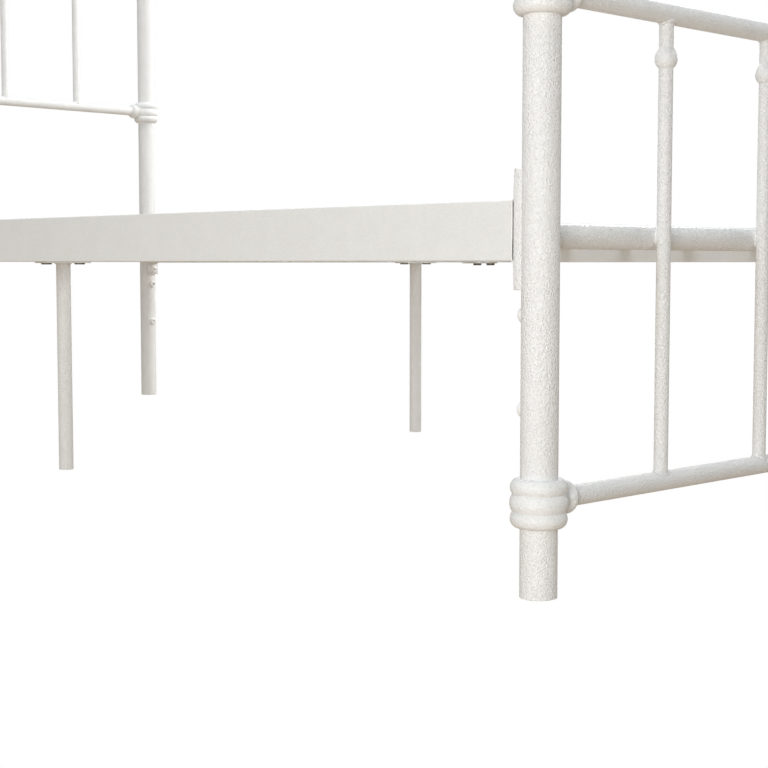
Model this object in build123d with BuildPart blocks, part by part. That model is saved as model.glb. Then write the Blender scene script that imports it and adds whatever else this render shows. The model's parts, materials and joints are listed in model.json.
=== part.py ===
# A twin-size tubular steel bed frame: two spindle panels, side rails, steel slats and a centre support.
# Millimetres. X runs along the bed with the headboard at -X, Y runs across it, Z is up.
# The origin is on the floor, in the middle of the bed.

from build123d import *
import os

os.makedirs("parts", exist_ok=True)

# Overall layout
post_span_x = 1918.0  # head posts to foot posts, centre to centre
post_span_y = 1012.0  # near posts to far posts, centre to centre
half_x = post_span_x / 2
half_y = post_span_y / 2
ends = {"head": -1, "foot": 1}
sides = {"near": -1, "far": 1}
clear = 1.0  # how far a cut runs past a face

# Posts, collars and finials
post_r = 16.0
post_wall = 1.5
collar_h = 41.0
middle_ring_h = 15.2
outer_ring_h = (collar_h - middle_ring_h) / 2
collar_drop = (1.5, -0.5)  # lower and upper collar: its middle below the rail's centre
collar_lip_r = 19.4
groove_r = 22.2
outer_ring_r = 24.2
middle_ring_r = 24.75
ring_crest_h = 6.2  # an outer ring is widest this far from its lip
post_above_collar = 9.0
finial_base_r = 17.5
finial_base_h = 3.5
finial_neck_r = 9.0
finial_ball_r = 19.0
finial_ball_z = 26.0  # ball centre above the post's top
finial_plug = 12.0

# Panels: the same spindle panel at both ends, set higher at the head
lower_rail_z = {"head": 600.5, "foot": 81.8}
panel_h = 421.2  # lower rail centre to upper rail centre
panel_rail_r = 9.0
panel_rail_wall = 1.2
panel_rail_end = 18.0  # from the post's axis
spindle_r = 6.5
spindle_wall = 1.0
spindle_count = 5
spindle_pitch = 166.0
knob_r = 10.2
knob_h = 18.0
knob_widest = 8.0  # above the knob's lower end
knob_top = 30.0  # below the upper rail's centre

# Flange ring where a panel rail enters its collar, measured from the post's axis
flange_centre = 33.0
flange_r = 14.5
flange_half_w = 5.7
neck_r = 10.6

# Side rails, cross tubes and slats
rail_w = 25.0
rail_h = 50.0
rail_wall = 1.5
rail_z0 = 282.5
rail_mid = rail_z0 + rail_h / 2
rail_corner = 0.8
inner_y = half_y - rail_w / 2
cross_r = 11.0
cross_wall = 1.2
cross_z = 303.4
cross_x = half_x - spindle_r - cross_r  # touches the spindles on the mattress side
cross_end = 13.0  # flat end, from the post's axis
slat_w = 20.0
slat_h = 12.0
slat_wall = 1.2
slat_z0 = 304.5
slat_first = 70.9
slat_pitch = 117.3
slats_per_half = 8

# Rail-end brackets and the bolts in the posts, measured from the post's axis towards the mattress
bracket_mid = 308.5
bracket_half_h = 50.3
bracket_flat_half = 26.0
bracket_depth = 21.3
bracket_tip_depth = 19.3
bracket_inner = 11.0
bracket_edge = 1.5
spot_face = 19.8
spot_face_r = 7.4
bolt_seat_in_post = 14.2  # a head on the bare post reaches down round the tube's side
bolt_r = 3.9
bolt_hole_r = 4.2
bolt_inner = 4.0
bolt_head_r = 7.0
bolt_head_h = 4.6
bolt_dome = 3.0
hex_r = 2.9
hex_depth = 2.6
rail_bolt_z = (268.5, 348.5)
spare_bolt_z = (157.8, 237.2)  # the lower fixing height

# Centre support
bar_size = 25.0
bar_wall = 1.5
end_plate_x = 42.0
end_plate_y = 46.5
end_plate_t = 1.8
leg_y = 338.0
leg_r = 9.5
leg_wall = 1.2
leg_z0 = 4.5  # the centre legs stop just short of a level floor
leg_plate_x = 25.0
leg_plate_y = 74.0
leg_plate_t = 1.5
leg_bolt_y = 26.0
plate_corner = 3.0
seam_bolt_x = 15.0
pan_head_r = 7.0
pan_shank_r = 2.9
pan_hole_r = 3.1
pan_length = 12.0
pan_edge = 1.0
seam_head_h = 3.3
leg_head_h = 1.9
glide_h = 15.0
leg_glide_h = 12.0


def save(part, name):
    part.label = name
    export_step(part, f"parts/{name}.step")


def post_axis(end, side):
    return (ends[end] * half_x, sides[side] * half_y)


def rail_height(end, level):
    return lower_rail_z[end] + level * panel_h


def post_top(end):
    return rail_height(end, 1) - collar_drop[1] + collar_h / 2 + post_above_collar


def towards_mattress(end, side):
    """Plane through a post's axis on the floor: local Z points at the mattress, local Y is up."""
    x, y = post_axis(end, side)
    inward = -ends[end]
    return Plane(origin=(x, y, 0), x_dir=(0, inward, 0), z_dir=(inward, 0, 0))


def upright(x, y, z):
    """Vertical plane through (x, y, z): local X is the radius, local Y is up."""
    return Plane(origin=(x, y, z), x_dir=(1, 0, 0), z_dir=(0, -1, 0))


def make_post(end, side):
    with BuildPart() as post:
        with BuildSketch(Plane.XY):
            with Locations(post_axis(end, side)):
                Circle(post_r)
                Circle(post_r - post_wall, mode=Mode.SUBTRACT)
        extrude(amount=post_top(end))
        with BuildSketch(towards_mattress(end, side)):
            with Locations([(0, z) for z in rail_bolt_z + spare_bolt_z]):
                Circle(bolt_hole_r)
        extrude(amount=post_r + clear, mode=Mode.SUBTRACT)
    save(post.part, f"post_{end}_{side}")


def make_collar(end, side, level):
    """Cast collar of three rings round the post, with a flanged socket for the panel rail."""
    x, y = post_axis(end, side)
    inward = -sides[side]
    rail_z = rail_height(end, level)
    base_z = rail_z - collar_drop[level] - collar_h / 2
    with BuildPart() as collar:
        with BuildSketch(upright(x, y, base_z)):
            with BuildLine():
                lip_low, lip_high = (collar_lip_r, 0), (collar_lip_r, collar_h)
                groove_low, groove_high = (groove_r, outer_ring_h), (groove_r, collar_h - outer_ring_h)
                Line((post_r - clear, 0), lip_low)
                ThreePointArc(lip_low, (outer_ring_r, ring_crest_h), groove_low)
                ThreePointArc(groove_low, (middle_ring_r, collar_h / 2), groove_high)
                ThreePointArc(groove_high, (outer_ring_r, collar_h - ring_crest_h), lip_high)
                Line(lip_high, (post_r - clear, collar_h))
                Line((post_r - clear, collar_h), (post_r - clear, 0))
            make_face()
        revolve(axis=Axis((x, y, 0), (0, 0, 1)))
        with BuildSketch(Plane(origin=(x, y, rail_z), x_dir=(0, inward, 0), z_dir=(inward, 0, 0))):
            with Locations((post_r, 0)):
                Rectangle(flange_centre - post_r, neck_r, align=(Align.MIN, Align.MIN))
            with Locations((flange_centre, 0)):
                Rectangle(2 * flange_half_w, flange_r - flange_half_w, align=(Align.CENTER, Align.MIN))
            with Locations((flange_centre, flange_r - flange_half_w)):
                Circle(flange_half_w)
        revolve(axis=Axis((x, y, rail_z), (0, 1, 0)))
        with BuildSketch(Plane.XY.offset(base_z - clear)):
            with Locations((x, y)):
                Circle(post_r)
        extrude(amount=collar_h + 2 * clear, mode=Mode.SUBTRACT)
        socket = Plane(origin=(x, y + inward * panel_rail_end, rail_z), x_dir=(1, 0, 0), z_dir=(0, inward, 0))
        with BuildSketch(socket):
            Circle(panel_rail_r)
        extrude(amount=flange_centre, mode=Mode.SUBTRACT)
    save(collar.part, f"collar_{end}_{side}_{'upper' if level else 'lower'}")


def make_panel_rail(end, level):
    x = ends[end] * half_x
    z = rail_height(end, level)
    length = post_span_y - 2 * panel_rail_end
    with BuildPart() as rail:
        with BuildSketch(Plane(origin=(x, -length / 2, z), x_dir=(1, 0, 0), z_dir=(0, 1, 0))):
            Circle(panel_rail_r)
            Circle(panel_rail_r - panel_rail_wall, mode=Mode.SUBTRACT)
        extrude(amount=length)
    save(rail.part, f"{end}_{'upper' if level else 'lower'}_rail")


def make_spindle(end, index):
    """Tube between the two panel rails, its ends coped to the rails' round sides."""
    x = ends[end] * half_x
    y = (index - (spindle_count - 1) / 2) * spindle_pitch
    with BuildPart() as spindle:
        with BuildSketch(Plane.XY.offset(rail_height(end, 0))):
            with Locations((x, y)):
                Circle(spindle_r)
                Circle(spindle_r - spindle_wall, mode=Mode.SUBTRACT)
        extrude(amount=panel_h)
        for level in (0, 1):
            rail_axis = Plane(origin=(x, y, rail_height(end, level)), x_dir=(1, 0, 0), z_dir=(0, 1, 0))
            with BuildSketch(rail_axis):
                Circle(panel_rail_r)
            extrude(amount=spindle_r + clear, both=True, mode=Mode.SUBTRACT)
    save(spindle.part, f"{end}_spindle_{index + 1}")


def make_knobs(end):
    """Cast ball on each spindle just under the upper rail, widest below its middle."""
    x = ends[end] * half_x
    z = rail_height(end, 1) - knob_top - knob_h
    with BuildPart() as knobs:
        for index in range(spindle_count):
            y = (index - (spindle_count - 1) / 2) * spindle_pitch
            with BuildSketch(upright(x, y, z)):
                with BuildLine():
                    TangentArc((knob_r, knob_widest), (spindle_r, 0), tangent=(0, -1))
                    TangentArc((knob_r, knob_widest), (spindle_r, knob_h), tangent=(0, 1))
                    Line((spindle_r, knob_h), (spindle_r, 0))
                make_face()
            revolve(axis=Axis((x, y, 0), (0, 0, 1)))
    save(knobs.part, f"{end}_spindle_knobs")


def make_finials():
    """Ball finial pressed into the top of each post."""
    with BuildPart() as finials:
        for end in ends:
            for side in sides:
                x, y = post_axis(end, side)
                ball_base = finial_ball_z - (finial_ball_r**2 - finial_neck_r**2) ** 0.5
                with BuildSketch(upright(x, y, post_top(end))):
                    with BuildLine():
                        Polyline(
                            (0, -finial_plug),
                            (post_r - post_wall, -finial_plug),
                            (post_r - post_wall, 0),
                            (finial_base_r, 0),
                            (finial_base_r, finial_base_h),
                        )
                        TangentArc((finial_neck_r, ball_base), (finial_base_r, finial_base_h), tangent=(0, -1))
                        ThreePointArc(
                            (finial_neck_r, ball_base),
                            (finial_ball_r, finial_ball_z),
                            (0, finial_ball_z + finial_ball_r),
                        )
                        Line((0, finial_ball_z + finial_ball_r), (0, -finial_plug))
                    make_face()
                revolve(axis=Axis((x, y, 0), (0, 0, 1)))
    save(finials.part, "post_finials")


def make_cross_tube(end):
    """Tube across the end of the platform, welded to the posts' and spindles' mattress side."""
    x = ends[end] * cross_x
    length = post_span_y - 2 * cross_end
    with BuildPart() as tube:
        with BuildSketch(Plane(origin=(x, -length / 2, cross_z), x_dir=(1, 0, 0), z_dir=(0, 1, 0))):
            Circle(cross_r)
            Circle(cross_r - cross_wall, mode=Mode.SUBTRACT)
        extrude(amount=length)
        with BuildSketch(Plane.XY.offset(cross_z - 2 * cross_r)):
            with Locations([post_axis(end, side) for side in sides]):
                Circle(post_r)
        extrude(amount=4 * cross_r, mode=Mode.SUBTRACT)
    save(tube.part, f"{end}_cross_tube")


def make_side_rail(end, side):
    """Rectangular tube from the bed's middle to the bracket, half of one side."""
    y = sides[side] * half_y
    length = half_x - bracket_depth
    with BuildPart() as rail:
        with BuildSketch(Plane.YZ):
            with Locations((y, rail_mid)):
                RectangleRounded(rail_w, rail_h, rail_corner)
                Rectangle(rail_w - 2 * rail_wall, rail_h - 2 * rail_wall, mode=Mode.SUBTRACT)
        extrude(amount=ends[end] * length)
        with BuildSketch(Plane.XY.offset(rail_z0 - clear)):
            with Locations((ends[end] * seam_bolt_x, y)):
                Circle(pan_hole_r)
        extrude(amount=rail_wall + 2 * clear, mode=Mode.SUBTRACT)
    save(rail.part, f"side_rail_{side}_{end}")


def make_brackets():
    """Saddle bracket at each post: it hugs the tube and carries the rail's end and two bolts."""
    with BuildPart() as brackets:
        for end in ends:
            for side in sides:
                x, y = post_axis(end, side)
                inward = -ends[end]
                low, high = bracket_mid - bracket_half_h, bracket_mid + bracket_half_h
                flat_low, flat_high = bracket_mid - bracket_flat_half, bracket_mid + bracket_flat_half
                profile = Plane(origin=(x, y, 0), x_dir=(inward, 0, 0), z_dir=(0, -inward, 0))
                with BuildSketch(profile):
                    with BuildLine():
                        Line((bracket_inner, low), (bracket_tip_depth, low))
                        TangentArc((bracket_depth, flat_low), (bracket_tip_depth, low), tangent=(0, -1))
                        Line((bracket_depth, flat_low), (bracket_depth, flat_high))
                        TangentArc((bracket_depth, flat_high), (bracket_tip_depth, high), tangent=(0, 1))
                        Line((bracket_tip_depth, high), (bracket_inner, high))
                        Line((bracket_inner, high), (bracket_inner, low))
                    make_face()
                extrude(amount=rail_w / 2, both=True)
        # Of a side face's outline, the flat and the two arcs, not the short ends or the post side
        outline = brackets.faces().filter_by(Axis.Y).edges()
        fillet(outline.filter_by(lambda edge: bracket_depth < edge.length < 2 * rail_h), bracket_edge)
        with BuildSketch(Plane.XY.offset(bracket_mid - 2 * bracket_half_h)):
            with Locations([post_axis(end, side) for end in ends for side in sides]):
                Circle(post_r)
        extrude(amount=4 * bracket_half_h, mode=Mode.SUBTRACT)
        for end in ends:
            for side in sides:
                with BuildSketch(towards_mattress(end, side)):
                    with Locations([(0, z) for z in rail_bolt_z]):
                        Circle(bolt_hole_r)
                extrude(amount=bracket_depth + clear, mode=Mode.SUBTRACT)
                with BuildSketch(towards_mattress(end, side).offset(spot_face)):
                    with Locations([(0, z) for z in rail_bolt_z]):
                        Circle(spot_face_r)
                extrude(amount=bracket_depth, mode=Mode.SUBTRACT)
    save(brackets.part, "rail_brackets")


def make_post_bolts():
    """Domed socket-head bolts: two hold each bracket, two close each post's lower fixing holes."""
    posts = [post_axis(end, side) for end in ends for side in sides]
    # Height, how far out the head's side starts, and the face that the head stands on
    rows = [(z, spot_face, spot_face) for z in rail_bolt_z]
    rows += [(z, bolt_seat_in_post, post_r) for z in spare_bolt_z]
    planes = [towards_mattress(end, side) for end in ends for side in sides]
    with BuildPart() as bolts:
        for plane in planes:
            for z, seat, face in rows:
                centre = plane.from_local_coords((0, z, 0))
                top = face + bolt_head_h
                with BuildSketch(Plane(origin=centre, x_dir=plane.z_dir, z_dir=-plane.x_dir)):
                    with BuildLine():
                        Polyline((seat, 0), (seat, bolt_head_r), (top - bolt_dome, bolt_head_r))
                        TangentArc((top, 0), (top - bolt_dome, bolt_head_r), tangent=(0, 1))
                        Line((top, 0), (seat, 0))
                    make_face()
                revolve(axis=Axis(centre, (1, 0, 0)))
        with BuildSketch(Plane.XY):
            with Locations(posts):
                Circle(post_r)
        extrude(amount=post_top("head"), mode=Mode.SUBTRACT)
        for plane in planes:
            for z, seat, face in rows:
                with BuildSketch(plane.offset(bolt_inner)):
                    with Locations((0, z)):
                        Circle(bolt_r)
                extrude(amount=face + clear - bolt_inner)
                with BuildSketch(plane.offset(face + bolt_head_h - hex_depth)):
                    with Locations((0, z)):
                        RegularPolygon(hex_r, 6)
                extrude(amount=bolt_head_h, mode=Mode.SUBTRACT)
    save(bolts.part, "post_bolts")


def make_slat(end, index):
    x = ends[end] * (slat_first + index * slat_pitch)
    with BuildPart() as slat:
        with BuildSketch(Plane(origin=(x, -inner_y, slat_z0 + slat_h / 2), x_dir=(1, 0, 0), z_dir=(0, 1, 0))):
            RectangleRounded(slat_w, slat_h, rail_corner)
            Rectangle(slat_w - 2 * slat_wall, slat_h - 2 * slat_wall, mode=Mode.SUBTRACT)
        extrude(amount=2 * inner_y)
    save(slat.part, f"slat_{end}_{index + 1}")


def make_centre_bar():
    with BuildPart() as bar:
        with BuildSketch(Plane(origin=(0, -inner_y, rail_z0 + bar_size / 2), x_dir=(1, 0, 0), z_dir=(0, 1, 0))):
            RectangleRounded(bar_size, bar_size, rail_corner)
            Rectangle(bar_size - 2 * bar_wall, bar_size - 2 * bar_wall, mode=Mode.SUBTRACT)
        extrude(amount=2 * inner_y)
        with BuildSketch(Plane.XY.offset(rail_z0 - clear)):
            with Locations(leg_bolts()):
                Circle(pan_hole_r)
        extrude(amount=bar_wall + 2 * clear, mode=Mode.SUBTRACT)
    save(bar.part, "centre_bar")


def leg_bolts():
    return [(0, side * leg_y + step * leg_bolt_y) for side in (-1, 1) for step in (-1, 1)]


def seam_bolts():
    return [(step * seam_bolt_x, side * half_y) for side in (-1, 1) for step in (-1, 1)]


def make_bar_end_plates():
    """Plate under each end of the centre bar that ties the two rail halves together."""
    with BuildPart() as plates:
        with BuildSketch(Plane.XY.offset(rail_z0 - end_plate_t)):
            for side in (-1, 1):
                with Locations((0, side * (half_y + rail_w / 2 - end_plate_y / 2))):
                    RectangleRounded(end_plate_x, end_plate_y, plate_corner)
            with Locations(seam_bolts()):
                Circle(pan_hole_r, mode=Mode.SUBTRACT)
        extrude(amount=end_plate_t)
    save(plates.part, "bar_end_plates")


def make_leg_plates():
    with BuildPart() as plates:
        with BuildSketch(Plane.XY.offset(rail_z0 - leg_plate_t)):
            with Locations((0, -leg_y), (0, leg_y)):
                RectangleRounded(leg_plate_x, leg_plate_y, plate_corner)
            with Locations(leg_bolts()):
                Circle(pan_hole_r, mode=Mode.SUBTRACT)
        extrude(amount=leg_plate_t)
    save(plates.part, "leg_plates")


def make_leg(side):
    with BuildPart() as leg:
        with BuildSketch(Plane.XY.offset(leg_z0)):
            with Locations((0, sides[side] * leg_y)):
                Circle(leg_r)
                Circle(leg_r - leg_wall, mode=Mode.SUBTRACT)
        extrude(amount=rail_z0 - leg_plate_t - leg_z0)
    save(leg.part, f"centre_leg_{side}")


def make_support_bolts():
    """Pan-head screws under the centre bar: through its end plates and through the leg plates."""
    with BuildPart() as bolts:
        groups = (
            (seam_bolts(), rail_z0 - end_plate_t, seam_head_h),
            (leg_bolts(), rail_z0 - leg_plate_t, leg_head_h),
        )
        for places, seat, head_h in groups:
            with BuildSketch(Plane.XY.offset(seat - head_h)):
                with Locations(places):
                    Circle(pan_head_r)
            extrude(amount=head_h)
            with BuildSketch(Plane.XY.offset(seat)):
                with Locations(places):
                    Circle(pan_shank_r)
            extrude(amount=pan_length)
        fillet(bolts.edges().group_by(Axis.Z)[0], pan_edge)
    save(bolts.part, "support_bolts")


def make_glides():
    """Plastic plugs inside the bottoms of the posts and the centre legs."""
    with BuildPart() as glides:
        with BuildSketch(Plane.XY):
            with Locations([post_axis(end, side) for end in ends for side in sides]):
                Circle(post_r - post_wall)
        extrude(amount=glide_h)
        with BuildSketch(Plane.XY.offset(leg_z0)):
            with Locations((0, -leg_y), (0, leg_y)):
                Circle(leg_r - leg_wall)
        extrude(amount=leg_glide_h)
    save(glides.part, "tube_glides")


for end in ends:
    for side in sides:
        make_post(end, side)
        make_side_rail(end, side)
        for level in (0, 1):
            make_collar(end, side, level)
    for level in (0, 1):
        make_panel_rail(end, level)
    for index in range(spindle_count):
        make_spindle(end, index)
    make_knobs(end)
    make_cross_tube(end)
    for index in range(slats_per_half):
        make_slat(end, index)
make_finials()
make_brackets()
make_post_bolts()
make_centre_bar()
make_bar_end_plates()
make_leg_plates()
for side in sides:
    make_leg(side)
make_support_bolts()
make_glides()
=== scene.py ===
import json
import math

import bmesh
import bpy
import numpy as np
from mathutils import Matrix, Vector


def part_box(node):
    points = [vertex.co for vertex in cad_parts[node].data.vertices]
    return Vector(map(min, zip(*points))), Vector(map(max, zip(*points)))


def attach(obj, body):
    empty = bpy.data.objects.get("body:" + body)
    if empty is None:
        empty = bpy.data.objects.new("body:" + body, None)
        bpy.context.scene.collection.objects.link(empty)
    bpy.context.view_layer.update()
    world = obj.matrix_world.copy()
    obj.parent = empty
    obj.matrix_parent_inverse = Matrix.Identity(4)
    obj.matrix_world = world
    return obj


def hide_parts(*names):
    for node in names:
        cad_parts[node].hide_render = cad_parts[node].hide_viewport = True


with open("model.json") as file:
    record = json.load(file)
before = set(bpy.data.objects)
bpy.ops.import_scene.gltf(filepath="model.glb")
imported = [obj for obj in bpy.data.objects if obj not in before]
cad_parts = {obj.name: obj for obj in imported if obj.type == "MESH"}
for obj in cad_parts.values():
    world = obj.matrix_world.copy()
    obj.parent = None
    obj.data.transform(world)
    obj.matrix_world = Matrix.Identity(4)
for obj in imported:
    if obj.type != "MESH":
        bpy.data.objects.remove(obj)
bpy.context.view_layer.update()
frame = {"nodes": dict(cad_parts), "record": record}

mm = 0.001
ends = {"head": -1, "foot": 1}
sides = {"near": -1, "far": 1}
levels = ("lower", "upper")
spindleCount = 5
slatsPerHalf = 8


# Where things are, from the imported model

def spanOf(node):
    low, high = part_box(node)
    return np.array(low), np.array(high)


def middleOf(node):
    low, high = spanOf(node)
    return (low + high) / 2


def sizeOf(node):
    low, high = spanOf(node)
    return high - low


# Surfaces

shading = {
    "flatPad": 0.25,  # of a corner's radius, how far past its arc one more point keeps the flat flat
    "mergeWithin": 1e-6,
    "sharpFrom": math.radians(48),
    "leastCorner": 0.2 * mm,
}


def roundedProfile(corners, radii, steps=5):
    # Each corner becomes an arc of its radius: the centre lies on the corner's bisector, the radius
    # over the sine of half the corner's angle away, and the arc turns from one tangent point to the
    # other at an even rate.
    corners = np.array(corners, float)
    points = []
    for i, radius in enumerate(radii):
        here = corners[i]
        if radius == 0:
            points.append(here[None])
            continue
        back = corners[i - 1] - here
        ahead = corners[(i + 1) % len(corners)] - here
        back = back / np.linalg.norm(back)
        ahead = ahead / np.linalg.norm(ahead)
        half = np.arccos(np.clip(back @ ahead, -1, 1)) / 2
        cut = radius / np.tan(half)
        bisector = (back + ahead) / np.linalg.norm(back + ahead)
        centre = here + bisector * radius / np.sin(half)
        start = here + back * cut - centre
        end = here + ahead * cut - centre
        sweep = np.pi - 2 * half
        share = np.linspace(0, 1, steps + 1)[:, None]
        arc = (np.sin((1 - share) * sweep) * start + np.sin(share * sweep) * end) / np.sin(sweep)
        pad = shading["flatPad"] * min(radius, cut)
        points += [(centre + start + back * pad)[None], centre + arc, (centre + end + ahead * pad)[None]]
    return np.concatenate(points)


def bulge(wide, end, steps):
    # Arc that leaves its widest point (radius, height) straight up or down and meets its end point:
    # the arc's centre is level with the widest point and as far from it as from the end, at the
    # widest squared less the end squared less the rise squared, over twice their difference.
    rise = end[1] - wide[1]
    centre = (wide[0] ** 2 - end[0] ** 2 - rise ** 2) / (2 * (wide[0] - end[0]))
    radius = wide[0] - centre
    angle = np.linspace(0, np.arcsin(rise / radius), steps)
    return np.stack([centre + radius * np.cos(angle), wide[1] + radius * np.sin(angle)], -1)


def arcThrough(start, via, end, steps):
    # Arc of the circle through three points: its centre is equally far from all of them, and the
    # angle about it grows evenly from the first point to the last.
    a, b, c = (np.array(p, float) for p in (start, via, end))
    chords = 2 * np.array([b - a, c - a])
    centre = np.linalg.solve(chords, np.array([b @ b - a @ a, c @ c - a @ a]))
    turn = [math.atan2(*(p - centre)[::-1]) for p in (a, b, c)]
    angle = np.linspace(turn[0], turn[2], steps)
    return centre + np.linalg.norm(a - centre) * np.stack([np.cos(angle), np.sin(angle)], -1)


axes = {
    "X": (np.array([0, 1, 0]), np.array([0, 0, 1]), np.array([1, 0, 0])),
    "Y": (np.array([0, 0, 1]), np.array([1, 0, 0]), np.array([0, 1, 0])),
    "Z": (np.array([1, 0, 0]), np.array([0, 1, 0]), np.array([0, 0, 1])),
    "-X": (np.array([0, 0, 1]), np.array([0, 1, 0]), np.array([-1, 0, 0])),
    "-Y": (np.array([1, 0, 0]), np.array([0, 0, 1]), np.array([0, -1, 0])),
    "-Z": (np.array([0, 1, 0]), np.array([1, 0, 0]), np.array([0, 0, -1])),
}


def turned(profile, origin, axis, turns=64, swell=0.0):
    # Each row of the profile is a ring: the origin, plus the row's height along the axis, plus the
    # row's radius and swell times the cosine of the turn to the side and its sine to the front.
    side, front, along = axes[axis]
    angle = np.arange(turns) * 2 * np.pi / turns
    ring = np.cos(angle)[:, None] * side + np.sin(angle)[:, None] * front
    radius = profile[:, 0, None] + swell
    radius = np.broadcast_to(radius, (len(profile), turns))
    return origin + profile[:, 1, None, None] * along + radius[..., None] * ring


def roundedOutline(width, depth, corner, steps=4):
    # A rectangle about the origin whose four corners are arcs of one radius
    x, y = width / 2, depth / 2
    return roundedProfile([(-x, -y), (x, -y), (x, y), (-x, y)], [corner] * 4, steps)


def framed(size, corner, rows, origin, axis, steps=4):
    # Each row is a rounded rectangle: the full size less twice the row's inset, its corners shrunk
    # by the same inset, at the row's height along the axis.
    side, front, along = axes[axis]
    least = shading["leastCorner"]
    flat = np.array([
        roundedOutline(size[0] - 2 * inset, size[1] - 2 * inset, max(corner - inset, least), steps)
        for inset in rows[:, 0]])
    return origin + flat[..., :1] * side + flat[..., 1:] * front + rows[:, 1, None, None] * along


def wallRows(outer, inner, start, end, lip):
    # A closed rectangle of (radius, height): out along the outer skin and back along the inner
    # one, its four corners arcs of the lip's radius
    loop = [(outer, start), (outer, end), (inner, end), (inner, start)]
    return roundedProfile(loop, [lip] * 4, 3)


def shell(grid, loopRows=False, loopColumns=True):
    # Quads between neighbouring grid points; open rows end in a fan about the row's middle.
    rows, columns = grid.shape[:2]
    index = np.arange(rows * columns).reshape(rows, columns)
    if loopRows:
        index = np.vstack([index, index[:1]])
    if loopColumns:
        index = np.hstack([index, index[:, :1]])
    quads = np.stack([index[:-1, :-1], index[:-1, 1:], index[1:, 1:], index[1:, :-1]], -1)
    points = grid.reshape(-1, 3)
    fans = np.zeros((0, 3), int)
    if loopColumns and not loopRows:
        first, last = index[0], index[-1]
        low = np.full(columns, len(points))
        points = np.vstack([points, grid[0].mean(0), grid[-1].mean(0)])
        fans = np.vstack([
            np.stack([low, first[1:], first[:-1]], -1),
            np.stack([low + 1, last[:-1], last[1:]], -1),
        ])
    return points, quads.reshape(-1, 4), fans


def newPiece(name, shells, slot, nodes=()):
    # Joins the shells in one mesh, merges the seams, and lets it stand for the CAD nodes
    points, faces, offset = [], [], 0
    for part, quads, fans in shells:
        points.append(part)
        faces += (quads + offset).tolist() + (fans + offset).tolist()
        offset += len(part)
    mesh = bpy.data.meshes.new(name)
    mesh.from_pydata(np.vstack(points).tolist(), [], faces)
    work = bmesh.new()
    work.from_mesh(mesh)
    bmesh.ops.remove_doubles(work, verts=work.verts, dist=shading["mergeWithin"])
    work.to_mesh(mesh)
    work.free()
    mesh.shade_smooth()
    mesh.set_sharp_from_angle(angle=shading["sharpFrom"])
    mesh.materials.append(finishes[slot])
    item = bpy.data.objects.new(name, mesh)
    bpy.context.scene.collection.objects.link(item)
    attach(item, "root")
    if nodes:
        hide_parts(*nodes)
    return item


# Finishes

def linear(hexColour):
    # sRGB hex to linear: ((c + 0.055) / 1.055) ** 2.4 above the toe
    channels = [int(hexColour[i:i + 2], 16) / 255 for i in (0, 2, 4)]
    return [c / 12.92 if c <= 0.04045 else ((c + 0.055) / 1.055) ** 2.4 for c in channels] + [1.0]


def addNode(tree, kind, settings=None, values=None, links=None):
    # One node with its settings, its socket values, and (socket, source node, source socket) links
    node = tree.nodes.new(kind)
    for key, value in (settings or {}).items():
        setattr(node, key, value)
    for key, value in (values or {}).items():
        node.inputs[key].default_value = value
    for key, source, output in links or []:
        tree.links.new(source.outputs[output], node.inputs[key])
    return node


def emptyMaterial(name):
    material = bpy.data.materials.new(name)
    material.use_nodes = True
    material.node_tree.nodes.clear()
    return material, material.node_tree


def powderCoat(name, look):
    # Electrostatic polyester powder, baked on: a hard semi-gloss white skin with a fine pebbled
    # grain, slightly duller in its hollows, which are also painted a darker, warmer grey as painted shade.
    material, tree = emptyMaterial(name)
    place = addNode(tree, "ShaderNodeTexCoord")
    grain = addNode(
        tree, "ShaderNodeTexNoise", {"noise_dimensions": "3D"},
        {"Scale": 1 / (look["grain"] * mm), "Detail": 2.0, "Roughness": 0.55},
        [("Vector", place, "Object")])
    pebble = addNode(
        tree, "ShaderNodeTexVoronoi", {"feature": "SMOOTH_F1"},
        {"Scale": 1 / (look["pebble"] * mm), "Smoothness": 0.6}, [("Vector", place, "Object")])
    cloud = addNode(
        tree, "ShaderNodeTexNoise", None,
        {"Scale": 1 / (look["cloud"] * mm), "Detail": 3.0, "Roughness": 0.6},
        [("Vector", place, "Object")])
    relief = addNode(
        tree, "ShaderNodeMix", {"data_type": "FLOAT"}, {"Factor": look["pebbleShare"]},
        [("A", grain, "Fac"), ("B", pebble, "Distance")])
    tint = addNode(
        tree, "ShaderNodeValToRGB", None, None, [("Fac", cloud, "Fac")])
    tint.color_ramp.elements[0].position = 0.35
    tint.color_ramp.elements[1].position = 0.65
    tint.color_ramp.elements[0].color = linear(look["shade"])
    tint.color_ramp.elements[1].color = linear(look["colour"])
    # Painted shade: where the grain is low, in its hollows, a darker grey is mixed into the colour
    paintedHollowShade = addNode(
        tree, "ShaderNodeMapRange", None,
        {"From Min": 0.3, "From Max": 0.55, "To Min": look["paintedHollowShade"], "To Max": 0.0},
        [("Value", grain, "Fac")])
    colour = addNode(
        tree, "ShaderNodeMix", {"data_type": "RGBA"}, {"B": linear(look["paintedHollowShadeColour"])},
        [("Factor", paintedHollowShade, "Result"), ("A", tint, "Color")])
    gloss = addNode(
        tree, "ShaderNodeMapRange", None,
        {"From Min": 0.3, "From Max": 0.7,
         "To Min": look["roughness"] + look["roughnessSwing"],
         "To Max": look["roughness"] - look["roughnessSwing"]},
        [("Value", grain, "Fac")])
    bump = addNode(
        tree, "ShaderNodeBump", None,
        {"Strength": look["bump"], "Distance": look["relief"] * mm}, [("Height", relief, "Result")])
    paint = addNode(
        tree, "ShaderNodeBsdfPrincipled", None, {"IOR": 1.5},
        [("Base Color", colour, "Result"), ("Roughness", gloss, "Result"), ("Normal", bump, "Normal")])
    addNode(tree, "ShaderNodeOutputMaterial", None, None, [("Surface", paint, "BSDF")])
    return material


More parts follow.
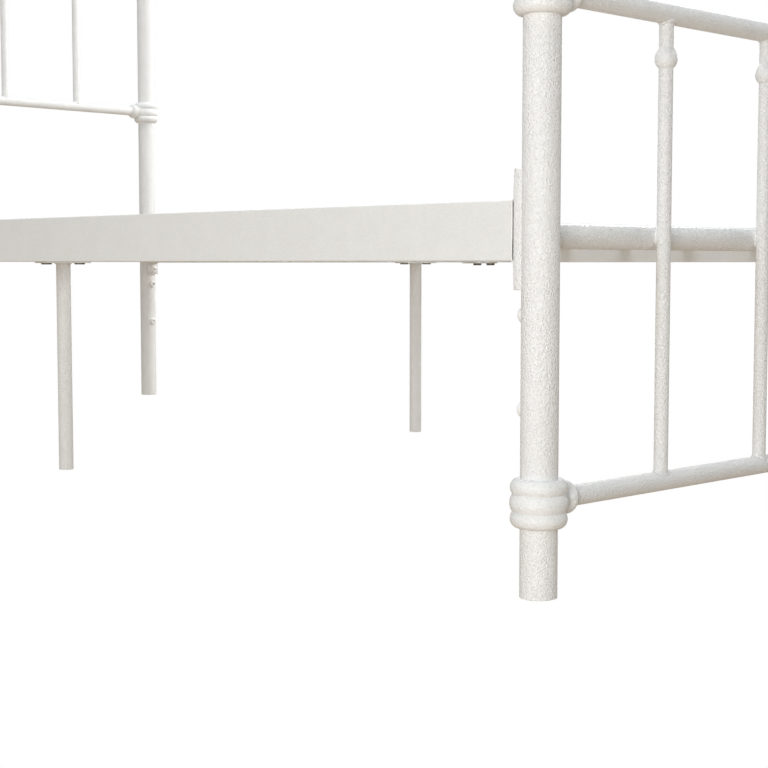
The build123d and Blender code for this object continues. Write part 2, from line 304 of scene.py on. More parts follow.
coarseCoat = {
    "colour": "F9F9F8",
    "shade": "F5F5F4",
    # The next two set the painted shade in the grain's hollows: its darker grey and how much of it
    "paintedHollowShadeColour": "D4D3CF",
    "paintedHollowShade": 0.5,
    "grain": 1.6,  # mm between pebbles: the real ones, a guessed 1 mm apart, are too fine to show,
    "pebble": 1.8,  # so both grains are drawn this coarse
    "pebbleShare": 0.4,
    "cloud": 22.0,  # mm between slightly thicker patches of powder
    "relief": 1.7,  # mm, deeper than the real grain for the same reason
    "bump": 1.0,
    "roughness": 0.27,
    "roughnessSwing": 0.06,
}
fineCoat = {
    **coarseCoat, "colour": "EFEFED", "shade": "ECECE9", "grain": 1.5, "relief": 0.35, "bump": 0.6,
    "paintedHollowShade": 0.2, "roughness": 0.42}
castCoat = {**coarseCoat, "relief": 1.2, "cloud": 12.0, "roughness": 0.28}
enamel = {**coarseCoat, "grain": 0.9, "relief": 0.08, "bump": 0.25, "paintedHollowShade": 0.1, "roughness": 0.24}


zinc = {"light": "8E8B85", "dark": "757069", "spangle": 1.2, "glossiest": 0.42, "dullest": 0.6}


def zincPlate(name):
    # Dull zinc over a forged screw head: grey metal, a little cloudy from the plating bath. Its
    # spangle is drawn 1.2 mm wide, coarser than the real one, which is too fine to show.
    material, tree = emptyMaterial(name)
    place = addNode(tree, "ShaderNodeTexCoord")
    spangle = addNode(
        tree, "ShaderNodeTexVoronoi", None, {"Scale": 1 / (zinc["spangle"] * mm)},
        [("Vector", place, "Object")])
    haze = addNode(
        tree, "ShaderNodeMapRange", None, {"To Min": zinc["glossiest"], "To Max": zinc["dullest"]},
        [("Value", spangle, "Distance")])
    tone = addNode(
        tree, "ShaderNodeMix", {"data_type": "RGBA"},
        {"A": linear(zinc["light"]), "B": linear(zinc["dark"])},
        [("Factor", spangle, "Distance")])
    metal = addNode(
        tree, "ShaderNodeBsdfPrincipled", None, {"Metallic": 1.0},
        [("Base Color", tone, "Result"), ("Roughness", haze, "Result")])
    addNode(tree, "ShaderNodeOutputMaterial", None, None, [("Surface", metal, "BSDF")])
    return material


plug = {"dark": "D6D4CE", "light": "E4E2DD", "skin": 0.8, "relief": 0.1, "bump": 0.3}


def mouldedPlastic(name):
    # Injection-moulded polyethylene: waxy off-white with a faint spark-eroded matt skin, whose
    # 0.8 mm pattern is drawn coarser than the real one, which is too fine to show
    material, tree = emptyMaterial(name)
    place = addNode(tree, "ShaderNodeTexCoord")
    skin = addNode(
        tree, "ShaderNodeTexNoise", None, {"Scale": 1 / (plug["skin"] * mm), "Detail": 2.0},
        [("Vector", place, "Object")])
    tone = addNode(
        tree, "ShaderNodeMix", {"data_type": "RGBA"},
        {"A": linear(plug["dark"]), "B": linear(plug["light"])},
        [("Factor", skin, "Fac")])
    bump = addNode(
        tree, "ShaderNodeBump", None,
        {"Strength": plug["bump"], "Distance": plug["relief"] * mm}, [("Height", skin, "Fac")])
    plastic = addNode(
        tree, "ShaderNodeBsdfPrincipled", None,
        {"Roughness": 0.5, "IOR": 1.51, "Subsurface Weight": 0.05, "Subsurface Radius": [mm] * 3},
        [("Base Color", tone, "Result"), ("Normal", bump, "Normal")])
    addNode(tree, "ShaderNodeOutputMaterial", None, None, [("Surface", plastic, "BSDF")])
    return material


finishes = {
    "post_tube": powderCoat("texturedPowderCoatPost", coarseCoat),
    "panel_tube": powderCoat("texturedPowderCoatPanel", coarseCoat),
    "cast_collar": powderCoat("texturedPowderCoatCasting", castCoat),
    "leg_tube": powderCoat("texturedPowderCoatLeg", coarseCoat),
    "bracket_steel": powderCoat("texturedPowderCoatBracket", coarseCoat),
    "side_rail": powderCoat("finePowderCoatRail", fineCoat),
    "slat_steel": powderCoat("finePowderCoatSlat", fineCoat),
    "bolt_white": powderCoat("whiteEnamelBolt", enamel),
    "zinc_screw": zincPlate("zincPlatedScrew"),
    "glide_plastic": mouldedPlastic("mouldedPolyethyleneGlide"),
}
for row in frame["record"]["subparts"]:
    node = frame["nodes"][row["node"]]
    node.data.materials.clear()
    node.data.materials.append(finishes[row["material_slot"]])
print("finishes made:", len(finishes))


# Posts and legs: round tubes standing on the floor

tubes = {
    "postWall": 1.5 * mm,
    "legWall": 1.2 * mm,
    "lip": 0.5 * mm,
    "postTurns": 80,
    "legTurns": 56,
}


def uprightTube(node, wall, turns, slot):
    # The tube's wall, a rectangle of (radius, height), turned about its upright axis
    low, high = spanOf(node)
    centre = (low + high) / 2
    radius = (high[0] - low[0]) / 2
    rows = wallRows(radius, radius - wall, low[2], high[2], tubes["lip"])
    origin = np.array([centre[0], centre[1], 0])
    return newPiece(node + "_tube", [shell(turned(rows, origin, "Z", turns), loopRows=True)], slot, [node])


postAxis = {}
for end in ends:
    for side in sides:
        name = f"post_{end}_{side}"
        postAxis[end, side] = middleOf(name) * np.array([1, 1, 0])
        uprightTube(name, tubes["postWall"], tubes["postTurns"], "post_tube")
for side in sides:
    uprightTube(f"centre_leg_{side}", tubes["legWall"], tubes["legTurns"], "leg_tube")
postRadius = sizeOf("post_foot_near")[0] / 2
spindleRadius = sizeOf("foot_spindle_1")[0] / 2
railRadius = sizeOf("foot_lower_rail")[0] / 2
print("posts and legs made")


# Cast collars: three rings round the post and a flanged socket for the panel rail

collar = {
    "lip": 19.9 * mm,
    "groove": 22.2 * mm,
    "outerRing": 24.2 * mm,
    "crest": 6.2 * mm,  # an outer ring is widest this far from its lip
    "middleHeight": 15.2 * mm,
    "neck": 10.6 * mm,
    "neckStart": 19.0 * mm,
    "flangeFrom": 27.3 * mm,
    "flangeRadius": 14.5 * mm,
    "flangeHalf": 5.7 * mm,
    "socketLip": 0.6 * mm,
    "rootFlare": 1.6 * mm,
    "flareFade": 2.2 * mm,  # the flare at the neck's root falls to a third over this length
    "boreOverlap": 0.3 * mm,  # the casting's bore bites this far into the post
    "socketOverlap": 0.2 * mm,
    "wobble": 0.10 * mm,
    "turns": 96,
    "socketTurns": 72,
    "ringSteps": 14,
}


def collarPiece(end, side, level):
    # Three rings, each an arc through its two edges and its crest, turned about the post, with a
    # slow waviness of three and seven waves a turn. The socket is turned about the rail: its neck's
    # radius falls off exponentially from the root, and its flange's edge is half a circle.
    node = f"collar_{end}_{side}_{level}"
    low, high = spanOf(node)
    height = high[2] - low[2]
    c = collar
    middleRing = (high[0] - low[0]) / 2
    lowGroove = (c["groove"], (height - c["middleHeight"]) / 2)
    highGroove = (c["groove"], (height + c["middleHeight"]) / 2)
    steps = c["ringSteps"]
    rings = [
        arcThrough((c["lip"], 0), (c["outerRing"], c["crest"]), lowGroove, steps),
        arcThrough(lowGroove, (middleRing, height / 2), highGroove, steps)[1:],
        arcThrough(highGroove, (c["outerRing"], height - c["crest"]), (c["lip"], height), steps)[1:],
    ]
    bore = postRadius - c["boreOverlap"]
    body = np.concatenate([[(bore, 0)], *rings, [(bore, height)]])
    angle = np.arange(c["turns"]) * 2 * np.pi / c["turns"]
    phase = 3.1 * low[0] + 7.3 * low[2]
    wobble = np.sin(3 * angle + phase) + 0.5 * np.sin(7 * angle - 2 * phase)
    wobble = c["wobble"] * wobble * (body[:, :1] > postRadius)
    wobble = np.minimum(wobble, middleRing - body[:, :1])
    axis = postAxis[end, side] + np.array([0, 0, low[2]])
    ringShell = shell(turned(body, axis, "Z", c["turns"], wobble), loopRows=True)
    reach = c["flangeRadius"] - c["flangeHalf"]
    mid = c["flangeFrom"] + c["flangeHalf"]
    turn = np.linspace(np.pi, 0, 17)
    flange = np.stack([reach + c["flangeHalf"] * np.sin(turn), mid + c["flangeHalf"] * np.cos(turn)], -1)
    start = np.linspace(c["neckStart"], c["flangeFrom"] - c["socketOverlap"], 8)
    neck = c["neck"] + c["rootFlare"] * np.exp(-(start - c["neckStart"]) / c["flareFade"])
    socketBore = railRadius - c["socketOverlap"]
    far = c["flangeFrom"] + 2 * c["flangeHalf"]
    socket = np.concatenate([
        [(socketBore, c["neckStart"])], np.stack([neck, start], -1), flange,
        [(railRadius + c["socketLip"], far)], [(socketBore, far + c["socketLip"])],
    ])
    railZ = middleOf(f"{end}_{level}_rail")[2]
    inward = "Y" if sides[side] < 0 else "-Y"
    origin = postAxis[end, side] + np.array([0, 0, railZ])
    socketShell = shell(turned(socket, origin, inward, c["socketTurns"]), loopRows=True)
    return newPiece(f"{node}_casting", [ringShell, socketShell], "cast_collar", [node])


for end in ends:
    for side in sides:
        for level in levels:
            collarPiece(end, side, level)
print("collars made")


# Panels: rails, spindles coped to them, and cross tubes

panel = {
    "railWall": 1.2 * mm,
    "spindleWall": 1.0 * mm,
    "crossWall": 1.2 * mm,
    "crossRadius": 11.0 * mm,
    "turns": 56,
    "spindleTurns": 48,
    "spindleRows": 7,
}


def levelTube(node, wall, slot):
    # The tube's wall turned about an axis across the bed
    low, high = spanOf(node)
    centre = (low + high) / 2
    radius = (high[2] - low[2]) / 2
    rows = wallRows(radius, radius - wall, low[1], high[1], tubes["lip"])
    origin = np.array([centre[0], 0, centre[2]])
    return newPiece(node + "_tube", [shell(turned(rows, origin, "Y", panel["turns"]), True)], slot, [node])


def spindleTube(end, index):
    # Straight between ends that follow the rails' round sides: an end's height above or below the
    # rail's centre is the root of the rail's radius squared less the squared distance along X.
    node = f"{end}_spindle_{index + 1}"
    centre = middleOf(node)
    lowZ, highZ = (middleOf(f"{end}_{level}_rail")[2] for level in levels)
    angle = np.arange(panel["spindleTurns"]) * 2 * np.pi / panel["spindleTurns"]
    count = panel["spindleRows"]
    share = np.linspace(0, 1, count)[:, None]
    skins = []
    for radius in (spindleRadius, spindleRadius - panel["spindleWall"]):
        cope = np.sqrt(railRadius ** 2 - (radius * np.cos(angle)) ** 2)
        height = (lowZ + cope) * (1 - share) + (highZ - cope) * share
        ring = np.stack([np.cos(angle), np.sin(angle)], -1) * radius + centre[:2]
        skins.append(np.dstack([np.broadcast_to(ring, (count, *ring.shape)), height]))
    grid = np.concatenate([skins[0], skins[1][::-1]])
    return newPiece(node + "_tube", [shell(grid, loopRows=True)], "panel_tube", [node])


for end in ends:
    for level in levels:
        levelTube(f"{end}_{level}_rail", panel["railWall"], "panel_tube")
    levelTube(f"{end}_cross_tube", panel["crossWall"], "panel_tube")
    for index in range(spindleCount):
        spindleTube(end, index)
print("panel tubes made")


# Cast knobs on the spindles and finials on the posts

knob = {
    "widest": 8.0 * mm,  # above the knob's lower end
    "ground": 0.7 * mm,  # taken off one shoulder where the casting's stub was ground away
    "groundTurn": math.radians(45),
    "groundWidth": 0.5,
    "groundFrom": 0.46,  # shares of the knob's height
    "groundTo": 0.85,
    "groundRise": 0.04,
    "groundFall": 0.3,
    "boreOverlap": 0.3 * mm,
    "turns": 64,
}
finial = {
    "base": 17.5 * mm,
    "baseHeight": 3.5 * mm,
    "neck": 9.0 * mm,
    "ball": 19.0 * mm,
    "ballCentre": 26.0 * mm,
    "seam": 0.12 * mm,
    "seamWidth": 0.03,  # in radians round the ball
    "footEdge": 0.8 * mm,
    "pole": 1.53,  # the ball's rows stop this far up, in radians, and a fan closes it
    "turns": 80,
}


def knobShell(spindle, radius, bottom, top):
    # Two arcs that meet at the widest point, turned about the spindle. The ground shoulder takes
    # off a bell curve round the turn, times a belt that rises and falls with the height.
    wide = radius, bottom + knob["widest"]
    lower = bulge(wide, (spindleRadius, bottom), 12)[::-1]
    upper = bulge(wide, (spindleRadius, top), 14)[1:]
    bore = spindleRadius - knob["boreOverlap"]
    body = np.concatenate([[(bore, bottom)], lower, upper, [(bore, top)]])
    angle = np.arange(knob["turns"]) * 2 * np.pi / knob["turns"]
    away = np.angle(np.exp(1j * (angle - knob["groundTurn"])))
    share = (body[:, 1:] - bottom) / (top - bottom)
    rise = np.clip((share - knob["groundFrom"]) / knob["groundRise"], 0, 1)
    belt = rise * np.clip((knob["groundTo"] - share) / knob["groundFall"], 0, 1)
    ground = -knob["ground"] * np.exp(-(away / knob["groundWidth"]) ** 2) * belt
    origin = np.array([spindle[0], spindle[1], 0])
    return shell(turned(body, origin, "Z", knob["turns"], ground), loopRows=True)


def finialShell(post, base, top):
    # A foot with a rounded edge, a cove whose radius follows a sine and its height a cosine, and a
    # ball with a shallow parting seam at its equator, all turned about the post
    f = finial
    foot = roundedProfile(
        [(postRadius - tubes["postWall"], 0), (f["base"], 0), (f["base"], f["baseHeight"])],
        [0, f["footEdge"], 0], 4)
    lift = f["ballCentre"] - math.sqrt(f["ball"] ** 2 - f["neck"] ** 2)
    share = np.linspace(0, 1, 12)[1:, None]
    cove = np.hstack([
        f["base"] + (f["neck"] - f["base"]) * np.sin(share * np.pi / 2),
        lift + (f["baseHeight"] - lift) * np.cos(share * np.pi / 2),
    ])
    tilt = np.linspace(math.asin((lift - f["ballCentre"]) / f["ball"]), f["pole"], 40)[1:]
    rib = f["seam"] * (np.exp(-(tilt / f["seamWidth"]) ** 2) - 1)
    ball = np.stack([(f["ball"] + rib) * np.cos(tilt), f["ballCentre"] + f["ball"] * np.sin(tilt)], -1)
    profile = np.concatenate([foot, cove, ball])
    profile[:, 1] *= (top - base) / (f["ballCentre"] + f["ball"])
    return shell(turned(profile, post + np.array([0, 0, base]), "Z", f["turns"]))


for end in ends:
    node = f"{end}_spindle_knobs"
    low, high = spanOf(node)
    radius = (high[0] - low[0]) / 2
    places = [middleOf(f"{end}_spindle_{index + 1}") for index in range(spindleCount)]
    knobs = [knobShell(place, radius, low[2], high[2]) for place in places]
    newPiece(f"{end}_cast_knobs", knobs, "cast_collar", [node])
finials = []
for (end, side), post in postAxis.items():
    base = spanOf(f"post_{end}_{side}")[1][2]
    reach = finial["ballCentre"] + finial["ball"]
    finials.append(finialShell(post, base, base + reach))
newPiece("ball_finials", finials, "cast_collar", ["post_finials"])
print("knobs and finials made")


# Side rails, slats and centre bar: rounded rectangular tubes

boxes = {
    "corner": 0.8 * mm,
    "railWall": 1.5 * mm,
    "slatWall": 1.2 * mm,
    "lip": 0.25 * mm,
}


def boxTube(node, axis, wall, slot):
    # Rounded rectangles along the tube: full size outside, less the wall inside, softened at the rims
    low, high = spanOf(node)
    size, centre = high - low, (low + high) / 2
    along = "XYZ".index(axis)
    across = [(along + 1) % 3, (along + 2) % 3]
    rows = wallRows(0, wall, low[along], high[along], boxes["lip"])
    origin = centre.copy()
    origin[along] = 0
    grid = framed(size[across], boxes["corner"], rows, origin, axis)
    return newPiece(f"{node}_section", [shell(grid, True)], slot, [node])


for end in ends:
    for side in sides:
        boxTube(f"side_rail_{side}_{end}", "X", boxes["railWall"], "side_rail")
    for index in range(slatsPerHalf):
        boxTube(f"slat_{end}_{index + 1}", "Y", boxes["slatWall"], "slat_steel")
boxTube("centre_bar", "Y", boxes["railWall"], "bracket_steel")
print("rails, slats and bar made")


# Plates under the bar, and their screws

plates = {
    "endPlate": (42.0 * mm, 46.5 * mm),
    "legPlate": (25.0 * mm, 74.0 * mm),
    "corner": 3.0 * mm,
    "edge": 0.35 * mm,
}
screws = {
    "seamX": 15.0 * mm,
    "legY": 26.0 * mm,
    "headRadius": 7.0 * mm,
    "edge": 0.9 * mm,
    "recess": 2.6 * mm,
    "recessDepth": 1.4 * mm,
    "recessLip": 0.12 * mm,
    "clearShare": 1.3,  # shares of the recess's reach: flat face, rim, floor and drill point
    "rimShare": 1.12,
    "floorShare": 0.96,
    "pointShare": 0.3,
    "legHead": 1.9 * mm,  # height of the heads under the leg plates
    "corners": 6,
    "turns": 48,
}


def plateShell(size, centre, low, high):
    # Rounded rectangles from the lower face's rim, over the plate's edge, to the upper face's rim
    inset = 2 * plates["edge"]
    rows = roundedProfile(
        [(inset, low), (0, low), (0, high), (inset, high)], [0, plates["edge"], plates["edge"], 0], 3)
    return shell(framed(size, plates["corner"], rows, np.array([centre[0], centre[1], 0]), "Z", 5))


def headShell(rows, origin, axis, corners, turns):
    # Rows are (radius, height, share). The share blends a circle into a polygon with that many
    # corners: its reach is the radius times the cosine of half a sector, over the cosine of the
    # turn from that sector's middle.
    rows = np.array(rows, float)
    angle = np.arange(turns) * 2 * np.pi / turns
    sector = 2 * np.pi / corners
    star = math.cos(sector / 2) / np.cos(angle % sector - sector / 2)
    swell = rows[:, :1] * rows[:, 2:] * (star - 1)
    return shell(turned(rows[:, :2], origin, axis, turns, swell))


def screwShell(place, seat, head):
    # A pan head: a cylinder with a rounded top edge, and a six-cornered recess in its face
    s = screws
    dome = roundedProfile([(s["headRadius"], 0), (s["headRadius"], head), (0, head)], [0, s["edge"], 0], 4)
    sidewall = [(r, h, 0) for r, h in dome if r > s["recess"] * s["clearShare"]]
    recess = [
        (s["recess"] * s["rimShare"], head, 0.7),
        (s["recess"], head - s["recessLip"], 1),
        (s["recess"] * s["floorShare"], head - s["recessDepth"], 1),
        (s["recess"] * s["pointShare"], head - s["recessDepth"] * 1.1, 1),
    ]
    rows = [(s["headRadius"] * 0.9, 0, 0), *sidewall, *recess]
    return headShell(rows, np.array([place[0], place[1], seat]), "-Z", s["corners"], s["turns"])


endLow, endHigh = spanOf("bar_end_plates")
legLow, legHigh = spanOf("leg_plates")
endY = endHigh[1] - plates["endPlate"][1] / 2
legY = legHigh[1] - plates["legPlate"][1] / 2
railY = middleOf("side_rail_far_foot")[1]
newPiece(
    "pressed_end_plates",
    [plateShell(plates["endPlate"], (0, s * endY), endLow[2], endHigh[2]) for s in (-1, 1)],
    "bracket_steel", ["bar_end_plates"])
newPiece(
    "pressed_leg_plates",
    [plateShell(plates["legPlate"], (0, s * legY), legLow[2], legHigh[2]) for s in (-1, 1)],
    "bracket_steel", ["leg_plates"])
seamHead = endLow[2] - spanOf("support_bolts")[0][2]
screwShells = []
for s in (-1, 1):
    for step in (-1, 1):
        screwShells.append(screwShell((step * screws["seamX"], s * railY), endLow[2], seamHead))
        place = (0, s * legY + step * screws["legY"])
        screwShells.append(screwShell(place, legLow[2], screws["legHead"]))
newPiece("pan_head_screws", screwShells, "zinc_screw", ["support_bolts"])
print("plates and screws made")


# Saddle brackets on the posts, and the domed bolts

bracket = {
    "halfWidth": 12.5 * mm,
    "flatHalf": 26.0 * mm,
    "depth": 21.3 * mm,
    "tipDepth": 19.3 * mm,
    "edge": 1.5 * mm,
    "camber": 1.6 * mm,  # how far the side faces fall away towards their edges
    "camberRadius": 14.0 * mm,
    "rim": 0.35 * mm,
}
bolt = {
    "bracketHeights": (268.5 * mm, 348.5 * mm),
    "spareHeights": (157.8 * mm, 237.2 * mm),
    "bracketSeat": 19.6 * mm,  # from the post's axis
    "spareSeat": 14.2 * mm,
    "headRadius": 7.0 * mm,
    "headHeight": 4.6 * mm,
    "spotFace": 19.8 * mm,
    "dome": 3.0 * mm,
    "hex": 2.9 * mm,
    "hexDepth": 4.0 * mm,
    "clearShare": 1.35,  # shares of the hexagon's reach: flat face, rim, lip and drill point
    "rimShare": 1.12,
    "lipShare": 1.02,
    "pointShare": 0.3,
    "faceDrop": 0.12 * mm,
    "rimDrop": 0.02 * mm,
    "lipDrop": 0.2 * mm,
    "drillPoint": 0.4 * mm,  # below the hexagon's floor
    "corners": 6,
    "turns": 60,
}


def bracketShell(post, inward, low, high):
    # Each level is an outline round the bracket's front and sides, and back along the post's
    # circle. Its depth is even in the middle and falls off with the square of the height to the
    # shallower tips, and the sides are cambered: widest halfway, an arc apart at both edges.
    b = bracket
    middle, reach = (low + high) / 2, (high - low) / 2
    height = np.concatenate([
        [low], np.linspace(low + b["rim"], middle - b["flatHalf"], 8),
        np.linspace(middle + b["flatHalf"], high - b["rim"], 8), [high]])
    past = np.clip(np.abs(height - middle) - b["flatHalf"], 0, None) / (reach - b["flatHalf"])
    depth = b["depth"] - (b["depth"] - b["tipDepth"]) * past ** 2
    depth[[0, -1]] -= b["rim"]
    hold = math.asin(b["halfWidth"] / postRadius)
    root = postRadius * math.cos(hold)
    outer = []
    for d, z in zip(depth, height):
        width = b["halfWidth"] - (b["rim"] if z in (low, high) else 0)
        slim = width - b["camber"]
        mid = (root + d) / 2
        corners = [(root, -slim), (mid, -width), (d, -slim), (d, slim), (mid, width), (root, slim)]
        rounding = [0, b["camberRadius"], b["edge"], b["edge"], b["camberRadius"], 0]
        flat = roundedProfile(corners, rounding, 4)
        outer.append(np.column_stack([flat, np.full(len(flat), z)]))
    outer = np.array(outer)
    angle = np.linspace(-hold, hold, outer.shape[1])
    inner = np.stack([postRadius * np.cos(angle), postRadius * np.sin(angle)], -1)
    inner = np.dstack([np.broadcast_to(inner, (len(height), *inner.shape)), outer[..., 2]])
    grid = np.concatenate([outer, inner[::-1]])
    return shell(post + grid * np.array([inward, inward, 1]), loopRows=True, loopColumns=False)


def boltShell(post, inward, z, seat, top):
    # A domed head: a cylinder, an arc over its crown, and a hexagonal socket in the middle
    b = bolt
    face = (b["hex"] * b["clearShare"], top - b["faceDrop"])
    crown = bulge((b["headRadius"], top - b["dome"]), face, 8)
    rows = [(b["headRadius"], seat, 0), *[(r, h, 0) for r, h in crown]]
    rows += [
        (b["hex"] * b["rimShare"], top - b["rimDrop"], 0.6),
        (b["hex"] * b["lipShare"], top - b["lipDrop"], 1),
        (b["hex"], top - b["hexDepth"], 1),
        (b["hex"] * b["pointShare"], top - b["hexDepth"] - b["drillPoint"], 1),
    ]
    origin = post + np.array([0, 0, z])
    return headShell(rows, origin, "X" if inward > 0 else "-X", b["corners"], b["turns"])


bracketLow, bracketHigh = spanOf("rail_brackets")
bracketShells, boltShells = [], []
for (end, side), post in postAxis.items():
    inward = -ends[end]
    bracketShells.append(bracketShell(post, inward, bracketLow[2], bracketHigh[2]))
    for z in bolt["bracketHeights"]:
        top = bolt["spotFace"] + bolt["headHeight"]
        boltShells.append(boltShell(post, inward, z, bolt["bracketSeat"], top))
    for z in bolt["spareHeights"]:
        top = postRadius + bolt["headHeight"]
        boltShells.append(boltShell(post, inward, z, bolt["spareSeat"], top))
newPiece("saddle_brackets", bracketShells, "bracket_steel", ["rail_brackets"])
newPiece("domed_bolts", boltShells, "bolt_white", ["post_bolts"])
print("brackets and bolts made")


# Glides: plastic plugs in the tube ends

glide = {
    "postHeight": 15.0 * mm,
    "legHeight": 12.0 * mm,
    "crown": 0.8 * mm,
    "turns": 56,
}


def glideShell(centre, radius, low, high):
    # Disc with a slightly crowned underside, which rises with the square of the distance from its
    # middle
    reach = np.linspace(0.08, 1, 10) * radius
    face = np.stack([reach, low + glide["crown"] * (reach / radius) ** 2], -1)
    side = [(radius, high - glide["crown"]), (radius - glide["crown"], high)]
    origin = np.array([centre[0], centre[1], 0])
    return shell(turned(np.concatenate([face, side]), origin, "Z", glide["turns"]))


glides = [glideShell(post, postRadius - tubes["postWall"], 0.0, glide["postHeight"])
          for post in postAxis.values()]
for side in sides:
    low, high = spanOf(f"centre_leg_{side}")
    radius = (high[0] - low[0]) / 2 - tubes["legWall"]
    glides.append(glideShell((low + high) / 2, radius, low[2], low[2] + glide["legHeight"]))
newPiece("moulded_glides", glides, "glide_plastic", ["tube_glides"])


# Welds, coated over with the tubes

beads = {
    "spindle": 1.5 * mm,
    "slat": 1.1 * mm,
    "leg": 1.6 * mm,
    "rail": 1.0 * mm,
    "cross": (2.6 * mm, 5.0 * mm, 7.0 * mm),
    "postInset": 0.62,  # of the post's radius, from its axis to the cross tube's weld
    "postShift": 3.0 * mm,
    "pole": 1.45,  # a nugget's rows stop this far up and down, in radians, and fans close them
    "facets": 10,
    "spindleSteps": 48,
    "legSteps": 56,
    "ripple": 0.12,
    "rippleStep": 1.9,
}


def bead(path, out, up, size):
    # Weld bead, a closed ring: about each point of the path, a circle of the bead's size in the
    # plane of the outward and upward directions, its size rippled by a sine along the path
    angle = np.arange(beads["facets"]) * 2 * np.pi / beads["facets"]
    ripple = 1 + beads["ripple"] * np.sin(np.arange(len(path)) * beads["rippleStep"])
    reach = (size * ripple)[:, None, None]
    section = np.cos(angle)[None, :, None] * out[:, None] + np.sin(angle)[None, :, None] * up[:, None]
    return shell(path[:, None] + reach * section, loopRows=True)


def blob(centre, reach, turns=16, rows=9):
    # Weld nugget, an ellipsoid: a unit ball, radius the cosine and height the sine of the tilt,
    # stretched to its three reaches
    tilt = np.linspace(-beads["pole"], beads["pole"], rows)
    profile = np.stack([np.cos(tilt), np.sin(tilt)], -1)
    return shell(np.array(centre) + turned(profile, 0, "Z", turns) * np.array(reach))


def ringOf(count):
    # A circle's directions, each the cosine of its turn along X and the sine along Y
    angle = np.arange(count) * 2 * np.pi / count
    return angle, np.stack([np.cos(angle), np.sin(angle), 0 * angle], -1)


def spindleBeads(end, index):
    # One bead at each end of a spindle, along the line where it meets the rail's round side
    centre = middleOf(f"{end}_spindle_{index + 1}")
    angle, out = ringOf(beads["spindleSteps"])
    found = []
    for level, way in zip(levels, (1, -1)):
        cope = np.sqrt(railRadius ** 2 - (spindleRadius * np.cos(angle)) ** 2)
        z = middleOf(f"{end}_{level}_rail")[2] + way * cope
        path = out * spindleRadius + np.stack([0 * z + centre[0], 0 * z + centre[1], z], -1)
        up = np.broadcast_to(np.array([0, 0, 1.0 * way]), out.shape)
        found.append(bead(path, out * way, up, np.full(len(path), beads["spindle"])))
    return found


def frameBead(node, axis, at, size):
    # Bead round a rectangular tube where it butts against a face: its path is the tube's rounded
    # outline with each stretch cut in four, and it faces away from the outline
    low, high = spanOf(node)
    along = "XYZ".index(axis)
    across = [(along + 1) % 3, (along + 2) % 3]
    spread = high - low
    outline = roundedOutline(spread[across[0]], spread[across[1]], boxes["corner"], 3)
    corners = np.roll(outline, -1, 0)
    share = np.linspace(0, 1, 5)[:-1, None, None]
    dense = (outline * (1 - share) + corners * share).transpose(1, 0, 2).reshape(-1, 2)
    tangent = np.roll(dense, -1, 0) - np.roll(dense, 1, 0)
    tangent /= np.linalg.norm(tangent, axis=1)[:, None]
    side, front, forward = axes[axis]
    path = dense[:, :1] * side + dense[:, 1:] * front
    path = path + (low + high) / 2
    path[:, along] = at
    out = tangent[:, 1:] * side - tangent[:, :1] * front
    up = np.broadcast_to(forward.astype(float), out.shape)
    return bead(path, out, up, np.full(len(path), size))


for end in ends:
    welds = []
    for index in range(spindleCount):
        welds += spindleBeads(end, index)
    cross = middleOf(f"{end}_cross_tube")
    gap = ends[end] * (panel["crossRadius"] - spindleRadius)
    touch = (cross[0] + middleOf(f"{end}_spindle_1")[0] + gap) / 2
    for index in range(spindleCount):
        y = middleOf(f"{end}_spindle_{index + 1}")[1]
        welds.append(blob((touch, y, cross[2]), beads["cross"]))
    for side in sides:
        y = postAxis[end, side][1]
        inner = y - sides[side] * beads["postInset"] * postRadius
        welds.append(blob((touch - ends[end] * beads["postShift"], inner, cross[2]), beads["cross"]))
    newPiece(f"{end}_panel_welds", welds, "panel_tube")

railWelds = []
for end in ends:
    for side in sides:
        node = f"side_rail_{side}_{end}"
        low, high = spanOf(node)
        at = high[0] if ends[end] > 0 else low[0]
        railWelds.append(frameBead(node, "X", at, beads["rail"]))
    for index in range(slatsPerHalf):
        node = f"slat_{end}_{index + 1}"
        low, high = spanOf(node)
        railWelds.append(frameBead(node, "Y", low[1], beads["slat"]))
        railWelds.append(frameBead(node, "Y", high[1], beads["slat"]))
newPiece("rail_welds", railWelds, "side_rail")

legWelds = []
for side in sides:
    low, high = spanOf(f"centre_leg_{side}")
    out = ringOf(beads["legSteps"])[1]
    path = out * (high[0] - low[0]) / 2 + np.array([0, (low + high)[1] / 2, high[2]])
    up = np.broadcast_to(np.array([0, 0, 1.0]), out.shape)
    legWelds.append(bead(path, out, up, np.full(len(path), beads["leg"])))
newPiece("leg_welds", legWelds, "leg_tube")
print("welds made")


# Studio: white surround, pale floor, soft lights

studio = {
    "skyStrength": 0.40,
    "sky": "F3FBFF",
    "floorSize": 14.0,
    "floorBounce": "FFECD5",
    "floorBounceStrength": 0.44,
}
lamps = {
    # name: (place, aim, size in metres, watts, beam in degrees)
    "overhead": ((0.0, 0.0, 3.0), (0.0, 0.0, 0.3), 2.5, 52, 180),
    "lowFront": ((2.0, -2.4, 0.35), (0.9, -0.4, 0.3), 0.8, 26, 180),
    "frontLeft": ((0.9, -2.9, 1.0), (0.9, -0.4, 0.3), 1.2, 7, 180),
    "farRight": ((1.8, 2.6, 1.7), (0.4, 0.0, 0.3), 1.4, 16, 180),
    "farLeft": ((-1.5, 2.7, 1.6), (0.0, 0.0, 0.3), 1.4, 26, 180),
    "headBeam": ((0.4, 2.6, 1.2), (-0.959, 0.506, 0.35), 0.7, 4.6, 68),
}


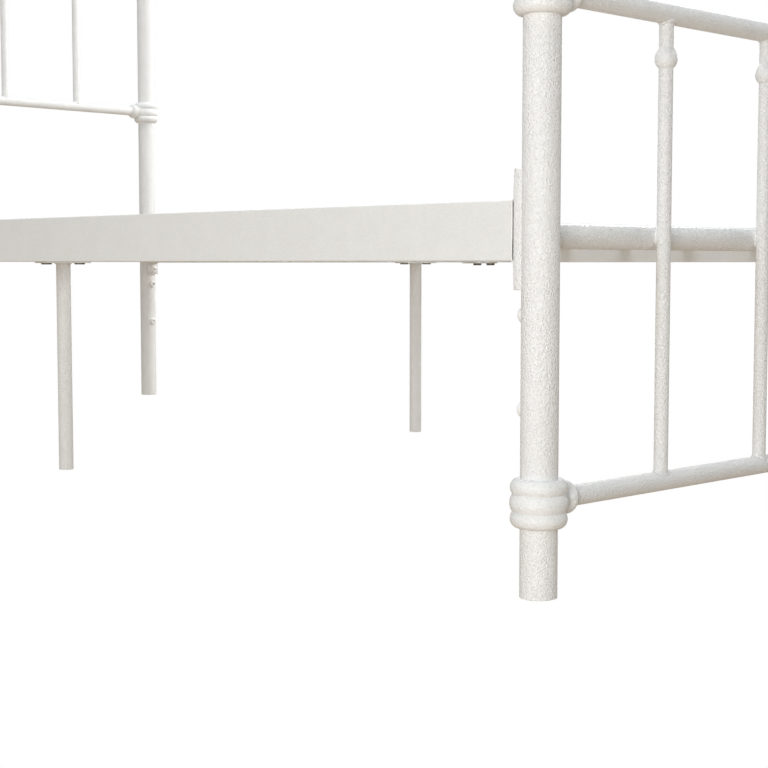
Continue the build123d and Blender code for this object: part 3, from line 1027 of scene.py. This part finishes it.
def stageWorld():
    # Pure white to the camera, and a dimmer, slightly cool sky to everything it lights
    world = bpy.data.worlds.new("whiteStudio")
    bpy.context.scene.world = world
    world.use_nodes = True
    tree = world.node_tree
    tree.nodes.clear()
    sight = addNode(tree, "ShaderNodeLightPath")
    sky = addNode(
        tree, "ShaderNodeBackground", None,
        {"Color": linear(studio["sky"]), "Strength": studio["skyStrength"]})
    paper = addNode(tree, "ShaderNodeBackground", None, {"Color": linear("FFFFFF"), "Strength": 1.0})
    mix = addNode(
        tree, "ShaderNodeMixShader", None, None,
        [(0, sight, "Is Camera Ray"), (1, sky, "Background"), (2, paper, "Background")])
    addNode(tree, "ShaderNodeOutputWorld", None, None, [("Surface", mix, "Shader")])


def stageFloor():
    # Pure white to the camera, and a warm bounce to the bed that stands on it
    material, tree = emptyMaterial("whitePaperFloor")
    sight = addNode(tree, "ShaderNodeLightPath")
    paper = addNode(tree, "ShaderNodeEmission", None, {"Color": linear("FFFFFF"), "Strength": 1.0})
    bounce = addNode(
        tree, "ShaderNodeEmission", None,
        {"Color": linear(studio["floorBounce"]), "Strength": studio["floorBounceStrength"]})
    mix = addNode(
        tree, "ShaderNodeMixShader", None, None,
        [(0, sight, "Is Camera Ray"), (1, bounce, "Emission"), (2, paper, "Emission")])
    addNode(tree, "ShaderNodeOutputMaterial", None, None, [("Surface", mix, "Shader")])
    half = studio["floorSize"] / 2
    mesh = bpy.data.meshes.new("paper_floor")
    corners = [(-half, -half, 0), (half, -half, 0), (half, half, 0), (-half, half, 0)]
    mesh.from_pydata(corners, [], [(0, 1, 2, 3)])
    mesh.materials.append(material)
    floor = bpy.data.objects.new("paper_floor", mesh)
    bpy.context.scene.collection.objects.link(floor)


def softLamp(name, place, aim, size, watts, beam):
    # A round area lamp that shines along the line from its place to its aim
    data = bpy.data.lights.new(name, "AREA")
    data.shape = "DISK"
    data.size = size
    data.energy = watts
    data.spread = math.radians(beam)
    lamp = bpy.data.objects.new(name, data)
    bpy.context.scene.collection.objects.link(lamp)
    lamp.location = place
    lamp.rotation_euler = (Vector(aim) - Vector(place)).to_track_quat("-Z", "Y").to_euler()
    lamp.visible_camera = False


stageWorld()
stageFloor()
for name, settings in lamps.items():
    softLamp(name, *settings)

camera = {
    "place": (1.7969, -1.5229, 0.280),
    "heading": (-0.7089, 0.7054),
    "pitch": math.radians(-4.3556),
    "lens": 73.97,
    "sensor": 36.0,
    "farClip": 50.0,
}
lens = bpy.data.cameras.new("lowCorner")
lens.lens = camera["lens"]
lens.sensor_width = camera["sensor"]
lens.clip_end = camera["farClip"]
view = bpy.data.objects.new("lowCorner", lens)
bpy.context.scene.collection.objects.link(view)
view.location = camera["place"]
run = math.cos(camera["pitch"])
sight = Vector((camera["heading"][0] * run, camera["heading"][1] * run, math.sin(camera["pitch"])))
view.rotation_euler = sight.to_track_quat("-Z", "Y").to_euler()
bpy.context.scene.camera = view
bpy.context.scene.view_settings.view_transform = "Standard"

print("stage set")
